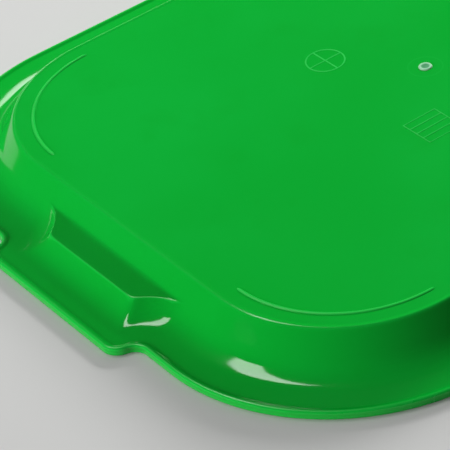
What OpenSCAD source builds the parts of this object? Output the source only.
// One-piece moulded serving tray, standing face down on its rim.
// +Z is up, X runs along the tray's length, and the base panel is on top.
// The moulding is divided along its own design lines into zones that meet face to face.

/* [Tray] */
// Overall length over the two handles
tray_l = 450; // [400:1:560]
// Overall width over the rim
tray_w = 352; // [310:1:440]
// Height of the base's edge above the rim's resting face
tray_h = 20.6; // [18:0.1:26]
// Thickness of the moulding
wall = 2.2; // [1.6:0.1:2.6]
// Width on plan of the sloping wall and rim, from the base's edge to the rim's edge
flare = 33.2; // [30:0.1:42]

/* [Base] */
// Corner radius of the base's edge
base_corner_r = 70.9; // [50:0.1:85]
// Height of the fine ridge that runs around the base panel
ridge_h = 0.2; // [0.1:0.1:0.6]
// Width of that ridge
ridge_w = 2.4; // [1.8:0.1:4]
// Radius that rounds the base's edge into the wall
edge_r = 1.2; // [0.8:0.1:2.4]

/* [Wall] */
// Depth of the straight upper wall, which is also the grip ledge's depth
upper_drop = 10; // [7:0.1:12]
// How far the upper wall leans out over that depth
upper_run = 7; // [4:0.1:9]
// Width on plan of the curved lower wall
lower_run = 19; // [14:0.1:20]

/* [Handle] */
// How far a handle's rim stands out beyond the end rim
handle_reach = 12.3; // [8:0.1:15]
// How far the straight part of a handle's rim stops short of the rim's corner
handle_gap = 33.7; // [30:0.1:40]
// Radius of the rim where it turns in from a handle
jog_outer_r = 9; // [7.5:0.1:11]
// Radius of the rim where it turns back along the end
jog_inner_r = 7; // [5:0.1:9]
// Width of the grip ledge, out from the upper wall
ledge_w = 14.2; // [10:0.1:16]
// How far the grip ledge stops short of the base's corner, along the upper wall
ledge_gap = 18.9; // [14:0.1:26]
// Length of a cheek, the ledge's end where it narrows to nothing
cheek_l = 19.7; // [16:0.1:24]
// How far a cheek curves in towards the ledge's middle
cheek_bow = 2.4; // [1.5:0.1:4]
// Width on plan of the curved wall below the ledge
grip_run = 14.6; // [11:0.1:17]

/* [Rim] */
// Height of the thickened lip along the rim
lip_h = 4; // [3.6:0.1:5]
// Width of the lip
lip_w = 2.6; // [2.4:0.1:3.4]
// Radius of the lip's upper edges
lip_r = 1.1; // [0.6:0.1:1.1]
// Clear height under the flange inside the lip
flange_clear = 1; // [0.6:0.1:1.2]
// Corner radius of the rim
rim_corner_r = 98.8; // [80:0.1:104]

/* [Base details] */
// Distance of the foot ribs in from the base's edge
rib_inset = 9.9; // [7:0.1:14]
// Width of a foot rib
rib_w = 1.8; // [1.2:0.1:3]
// Height of a foot rib
rib_h = 0.4; // [0.2:0.1:1]
// Diameter of the gate mark in the middle of the base
gate_d = 6.8; // [4:0.1:9]
// Height of the gate mark
gate_h = 0.5; // [0.3:0.1:0.8]
// Size across each mould mark
mark_size = 20; // [12:0.5:26]
// Width of the lines of a mould mark
mark_line = 0.8; // [0.6:0.1:1.4]
// Height of the lines of a mould mark
mark_h = 0.3; // [0.2:0.05:0.5]
// Distance of the mould marks from the tray's middle along X
mark_x = 30; // [20:1:60]
// Distance of the mould marks from the tray's middle along Y
mark_y = 40; // [20:1:60]

/* [Hidden] */
$fn = 96;
// Numbers of steps in the curved lower wall, along a cheek and in a rounded edge
curve_steps = 10;
cheek_steps = 16;
edge_steps = 5;
// Narrowest ledge, where a cheek runs out into the end wall
ledge_end_w = 0.3;
// The rim's and the base's half sizes on plan
rim_x = tray_l / 2 - handle_reach;
rim_y = tray_w / 2;
base_x = rim_x - flare;
base_y = rim_y - flare;
// Centre of a base corner and of a rim corner
corner_x = base_x - base_corner_r;
corner_y = base_y - base_corner_r;
rim_cx = rim_x - rim_corner_r;
rim_cy = rim_y - rim_corner_r;
// Levels
base_z = tray_h - ridge_h;
ledge_z = tray_h - upper_drop;
flange_z = flange_clear + wall;
// Slope of the upper wall, its turn from level, and the width on plan where it starts to round
slope = upper_drop / upper_run;
edge_turn = atan(slope);
edge_in = edge_r * tan(edge_turn / 2);
// Width from the base's edge to where the lower wall meets the flange
foot_run = upper_run + lower_run;
// The ledge's corners, as distances out from the base's edge and along the end
ledge_in = [upper_run, corner_y - ledge_gap];
ledge_out = [upper_run + ledge_w, ledge_in[1] - cheek_l];
// Between them the ledge's edge is an arc that is hollow on the cheek's side
cheek_chord = norm(ledge_in - ledge_out);
cheek_r = (pow(cheek_chord / 2, 2) + pow(cheek_bow, 2)) / (2 * cheek_bow);
cheek_side = [ledge_in[1] - ledge_out[1], ledge_out[0] - ledge_in[0]] / cheek_chord;
cheek_c = (ledge_in + ledge_out) / 2 + cheek_side * (cheek_r - cheek_bow);
// Centres of the two arcs of the rim beside a handle
jog_out_x = rim_x + handle_reach - jog_outer_r;
jog_out_y = rim_cy - handle_gap;
jog_in_x = rim_x + jog_inner_r;
jog_dx = jog_in_x - jog_out_x;
jog_dy = sqrt(pow(jog_outer_r + jog_inner_r, 2) - jog_dx * jog_dx);
jog_in_y = jog_out_y + jog_dy;
jog_turn = atan2(jog_dy, jog_dx);

function reversed(list) = [for (i = [len(list) - 1:-1:0]) list[i]];
function unit(v) = v / norm(v);
// Upward normal of a path's leg, which runs outwards
function up(a, b) = unit([a[1] - b[1], b[0] - a[0]]);
// Point below corner b of a path a, b, c, one wall thickness in
function under(a, b, c) =
    let (n1 = up(a, b), n2 = up(b, c)) b - (n1 + n2) * wall / (1 + n1 * n2);
// The path one wall thickness below, which ends straight under its last point
function below(path) = [
    for (i = [1:len(path) - 1])
        i == len(path) - 1 ? path[i] - [0, wall] : under(path[i - 1], path[i], path[i + 1])
];

// Lower wall's curve from the level of the ledge down to the flange, level at its foot
function lower_curve(start, run) =
    let (power = slope * run / (ledge_z - flange_z))
    [for (i = [0:curve_steps]) let (w = i / curve_steps)
        [start + run * w, flange_z + (ledge_z - flange_z) * pow(1 - w, power)]];

// Outer line of the ridge and of the rounded edge, from the base panel outwards
function ridge_line() = concat(
    [for (i = [0:edge_steps]) let (w = i / edge_steps)
        [-ridge_w + (ridge_w - edge_in) * w, base_z + ridge_h * (1 - cos(180 * w)) / 2]],
    [for (i = [1:edge_steps]) let (a = edge_turn * i / edge_steps)
        [-edge_in + edge_r * sin(a), tray_h - edge_r * (1 - cos(a))]]
);
// The wall line carried up to the base panel's level, which the inner face follows
base_break = [ridge_h / slope, base_z];
base_start = [-ridge_w, base_z];

// Section of the ridge, the upper wall and the whole lower wall
module wall_section() {
    line = lower_curve(upper_run, lower_run);
    polygon(concat(
        ridge_line(), line,
        reversed(below(concat([base_start, base_break], line))),
        [base_start - [0, wall]]
    ));
}

// Section of the ledge and of the wall below it, in the middle of the grip
module grip_section() {
    line = concat([[upper_run, ledge_z]], lower_curve(upper_run + ledge_w, grip_run));
    polygon(concat(line, reversed(below(concat([base_break], line)))));
}

// Section of the ridge and the upper wall alone, above the ledge
module upper_section() {
    crease = [upper_run, ledge_z];
    inner = below([base_start, base_break, crease, crease + [ledge_w, 0]]);
    polygon(concat(ridge_line(), [crease, inner[1], inner[0], base_start - [0, wall]]));
}

// Copies of a quarter into the corners and halves
module to_left(is_left) {
    if (is_left) mirror([1, 0, 0]) children(); else children();
}
module to_front(is_front) {
    if (is_front) mirror([0, 1, 0]) children(); else children();
}
module both_y() {
    children();
    mirror([0, 1, 0]) children();
}
module both_x() {
    children();
    mirror([1, 0, 0]) children();
}
// A section drawn outwards from the base's edge, run along the end wall between two Y places
module along_end(y0, y1) {
    translate([base_x, y1, 0]) rotate([90, 0, 0]) linear_extrude(height = y1 - y0) children();
}

module rounded_plan(x, y, r) {
    square([2 * (x - r), 2 * y], center = true);
    square([2 * x, 2 * (y - r)], center = true);
    for (sx = [-1, 1], sy = [-1, 1]) translate([sx * (x - r), sy * (y - r)]) circle(r);
}

module base_panel() {
    color("#12a83e") translate([0, 0, base_z - wall]) linear_extrude(height = wall)
        rounded_plan(base_x - ridge_w, base_y - ridge_w, base_corner_r - ridge_w);
}

module gate_mark() {
    color("#8fd6a0") translate([0, 0, base_z]) cylinder(d = gate_d, h = gate_h);
}

module round_mould_mark() {
    r = mark_size / 2;
    color("#3cba60") translate([-mark_x, mark_y, base_z]) linear_extrude(height = mark_h) {
        difference() {
            circle(r);
            circle(r - mark_line);
        }
        square([2 * r - mark_line, mark_line], center = true);
        square([mark_line, 2 * r - mark_line], center = true);
    }
}

module square_mould_mark() {
    color("#3cba60") translate([-mark_x, -mark_y, base_z]) linear_extrude(height = mark_h) {
        difference() {
            square(mark_size, center = true);
            square(mark_size - 2 * mark_line, center = true);
        }
        for (y = [-1, 0, 1]) translate([0, y * mark_size / 4])
            square([mark_size - mark_line, mark_line], center = true);
    }
}

// A low round-topped rib on a quarter circle about the base corner's centre
module foot_rib(is_left, is_front) {
    cap_r = (pow(rib_w / 2, 2) + rib_h * rib_h) / (2 * rib_h);
    cap_turn = asin(rib_w / 2 / cap_r);
    cap_steps = 4;
    cap = [for (i = [-cap_steps:cap_steps]) let (a = cap_turn * i / cap_steps)
        [cap_r * sin(a), rib_h - cap_r * (1 - cos(a))]];
    color("#2fc45a") to_left(is_left) to_front(is_front)
        translate([corner_x, corner_y, base_z]) rotate_extrude(angle = 90)
            translate([base_corner_r - rib_inset, 0]) polygon(cap);
}

module side_wall(is_front) {
    color("#0f9e36") to_front(is_front)
        translate([-corner_x, base_y, 0]) rotate([90, 0, 90])
            linear_extrude(height = 2 * corner_x) wall_section();
}

module corner_wall(is_left, is_front) {
    color("#0d9433") to_left(is_left) to_front(is_front)
        translate([corner_x, corner_y, 0]) rotate_extrude(angle = 90)
            translate([base_corner_r, 0]) wall_section();
}

// Whole wall beside the grip, and the upper wall alone above it
module end_wall(is_left) {
    color("#12b03c") to_left(is_left) {
        both_y() along_end(ledge_in[1], corner_y) wall_section();
        along_end(-ledge_in[1], ledge_in[1]) upper_section();
    }
}

// Straight middle of the ledge and of the wall below it
module grip_step(is_left) {
    color("#0a8f2c") to_left(is_left)
        along_end(-ledge_out[1], ledge_out[1]) grip_section();
}

// Height of the lower wall above the flange, at a part w of its width on plan
function wall_rise(w, run) =
    w >= 1 ? 0 : (ledge_z - flange_z) * pow(1 - w, slope * run / (ledge_z - flange_z));
// Distance of a point on plan outside the ledge's edge
function off_ledge(p) = max(p[0] - ledge_out[0], cheek_r - norm(p - cheek_c), 0);
// Level of the end's surface at a point on plan beyond the upper wall
function end_level(p) = flange_z + max(
    wall_rise((p[0] - upper_run) / lower_run, lower_run),
    wall_rise(off_ledge(p) / grip_run, grip_run)
);
// Angle of a direction, from 0 to 360
function turn_of(v) = (atan2(v[1], v[0]) + 360) % 360;
// Place on the ledge's edge, from its outer corner at 0 to its inner corner at 1
function cheek_edge(t) =
    let (a0 = turn_of(ledge_out - cheek_c), a = a0 + (turn_of(ledge_in - cheek_c) - a0) * t)
    cheek_c + cheek_r * [cos(a), sin(a)];
// Distance out from the base's edge to the foot of the wall, at a place along the cheek
function cheek_foot(y) =
    let (foot_r = max(cheek_r - grip_run, 0), dy = abs(y - cheek_c[1]),
        arc = dy < foot_r ? cheek_c[0] - sqrt(foot_r * foot_r - dy * dy) : ledge_out[0] + grip_run)
    max(foot_run, min(ledge_out[0] + grip_run, arc));
// Section of the ledge and of the wall below it at one place along a cheek
function cheek_section(t) =
    let (
        edge = cheek_edge(t),
        start = max(edge[0], upper_run + ledge_end_w),
        foot = cheek_foot(edge[1]),
        line = concat(
            [base_break, [upper_run, ledge_z]],
            [for (i = [0:curve_steps]) let (u = start + (foot - start) * i / curve_steps)
                [u, i == 0 ? ledge_z : i == curve_steps ? flange_z : end_level([u, edge[1]])]]
        )
    )
    concat([for (i = [1:len(line) - 1]) line[i]], reversed(below(line)));

// End of the grip, where the ledge narrows to nothing and its wall swings round to the end wall
module grip_cheek(is_left, is_front) {
    rings = [for (j = [0:cheek_steps]) let (t = j / cheek_steps)
        [for (p = cheek_section(t)) [base_x + p[0], cheek_edge(t)[1], p[1]]]];
    n = len(rings[0]);
    sides = [for (j = [0:cheek_steps - 1], i = [0:n - 1])
        let (k = (i + 1) % n, a = j * n, b = a + n) each [[a + i, b + i, b + k], [a + i, b + k, a + k]]];
    color("#0c8a30") to_left(is_left) to_front(is_front) polyhedron(
        points = [for (ring = rings) each ring],
        faces = concat([[for (i = [0:n - 1]) i]], sides,
            [[for (i = [n - 1:-1:0]) cheek_steps * n + i]]),
        convexity = 6
    );
}

// Rim outline, drawn in by a distance, with its handles
module handle_plan(inset) {
    translate([0, -jog_out_y]) square([rim_x + handle_reach - inset, 2 * jog_out_y]);
    both_y() difference() {
        union() {
            translate([jog_out_x, jog_out_y]) circle(jog_outer_r - inset);
            polygon([[0, 0], [jog_out_x, 0], [jog_out_x, jog_out_y], [jog_in_x, jog_in_y], [0, jog_in_y]]);
        }
        translate([jog_in_x, jog_in_y]) circle(jog_inner_r + inset);
    }
}
module rim_plan(inset) {
    rounded_plan(rim_x - inset, rim_y - inset, rim_corner_r - inset);
    both_x() handle_plan(inset);
}

// Outline of the lower wall's foot, where the flange starts
module foot_plan() {
    rounded_plan(base_x + foot_run, base_y + foot_run, base_corner_r + foot_run);
    side = [for (j = [0:cheek_steps]) let (y = cheek_edge(j / cheek_steps)[1])
        [base_x + cheek_foot(y), y]];
    both_x() polygon(concat(
        [[0, -ledge_in[1]]],
        [for (p = reversed(side)) [p[0], -p[1]]], side,
        [[0, ledge_in[1]]]
    ));
}

// Section of the lip: its outer face is at 0 and it reaches inwards to -lip_w
module lip_section() {
    foot_chamfer = 0.4;
    polygon(concat(
        [[-lip_w, foot_chamfer], [foot_chamfer - lip_w, 0], [-foot_chamfer, 0], [0, foot_chamfer]],
        [for (i = [0:edge_steps]) let (a = 90 * i / edge_steps)
            [lip_r * (cos(a) - 1), lip_h + lip_r * (sin(a) - 1)]],
        [for (i = [edge_steps:-1:0]) let (a = 90 * i / edge_steps)
            [-lip_w + lip_r * (1 - cos(a)), lip_h + lip_r * (sin(a) - 1)]]
    ));
}
module lip_line(x, y0, y1) {
    translate([x, y1, 0]) rotate([90, 0, 0]) linear_extrude(height = y1 - y0) lip_section();
}

// One quarter of the rim: its lip from the middle of a side round to the middle of a handle
module rim_quarter() {
    translate([0, rim_y, 0]) rotate([90, 0, 90]) linear_extrude(height = rim_cx) lip_section();
    translate([rim_cx, rim_cy, 0]) rotate_extrude(angle = 90)
        translate([rim_corner_r, 0]) lip_section();
    lip_line(rim_x, jog_in_y, rim_cy);
    translate([jog_in_x, jog_in_y, 0]) rotate([0, 0, 180]) rotate_extrude(angle = jog_turn)
        translate([jog_inner_r, 0]) mirror([1, 0, 0]) lip_section();
    translate([jog_out_x, jog_out_y, 0]) rotate_extrude(angle = jog_turn)
        translate([jog_outer_r, 0]) lip_section();
    lip_line(rim_x + handle_reach, 0, jog_out_y);
    translate([0, 0, flange_clear]) linear_extrude(height = wall) intersection() {
        square([tray_l, tray_w]);
        difference() {
            rim_plan(lip_w);
            foot_plan();
        }
    }
}

// A part of the rim quarter between two corners on plan
module rim_zone(low, high) {
    intersection() {
        rim_quarter();
        translate([low[0], low[1], -1])
            cube([high[0] - low[0], high[1] - low[1], tray_h]);
    }
}

module rim_side(is_front) {
    color("#14b843") to_front(is_front) both_x() rim_zone([0, corner_y], [corner_x, tray_w]);
}

module rim_corner(is_left, is_front) {
    color("#11a83c") to_left(is_left) to_front(is_front)
        rim_zone([corner_x, corner_y], [tray_l, tray_w]);
}

module handle_rim(is_left) {
    color("#18c24a") to_left(is_left) both_y() rim_zone([0, 0], [tray_l, corner_y]);
}

base_panel();
gate_mark();
round_mould_mark();
square_mould_mark();
foot_rib(true, true);  // foot_rib_front_left
foot_rib(false, true);  // foot_rib_front_right
foot_rib(true, false);  // foot_rib_back_left
foot_rib(false, false);  // foot_rib_back_right
side_wall(true);  // side_wall_front
side_wall(false);  // side_wall_back
corner_wall(true, true);  // corner_wall_front_left
corner_wall(false, true);  // corner_wall_front_right
corner_wall(true, false);  // corner_wall_back_left
corner_wall(false, false);  // corner_wall_back_right
end_wall(true);  // end_wall_left
end_wall(false);  // end_wall_right
grip_step(true);  // grip_step_left
grip_step(false);  // grip_step_right
grip_cheek(true, true);  // grip_cheek_front_left
grip_cheek(false, true);  // grip_cheek_front_right
grip_cheek(true, false);  // grip_cheek_back_left
grip_cheek(false, false);  // grip_cheek_back_right
rim_side(true);  // rim_front
rim_side(false);  // rim_back
rim_corner(true, true);  // rim_corner_front_left
rim_corner(false, true);  // rim_corner_front_right
rim_corner(true, false);  // rim_corner_back_left
rim_corner(false, false);  // rim_corner_back_right
handle_rim(true);  // handle_rim_left
handle_rim(false);  // handle_rim_right
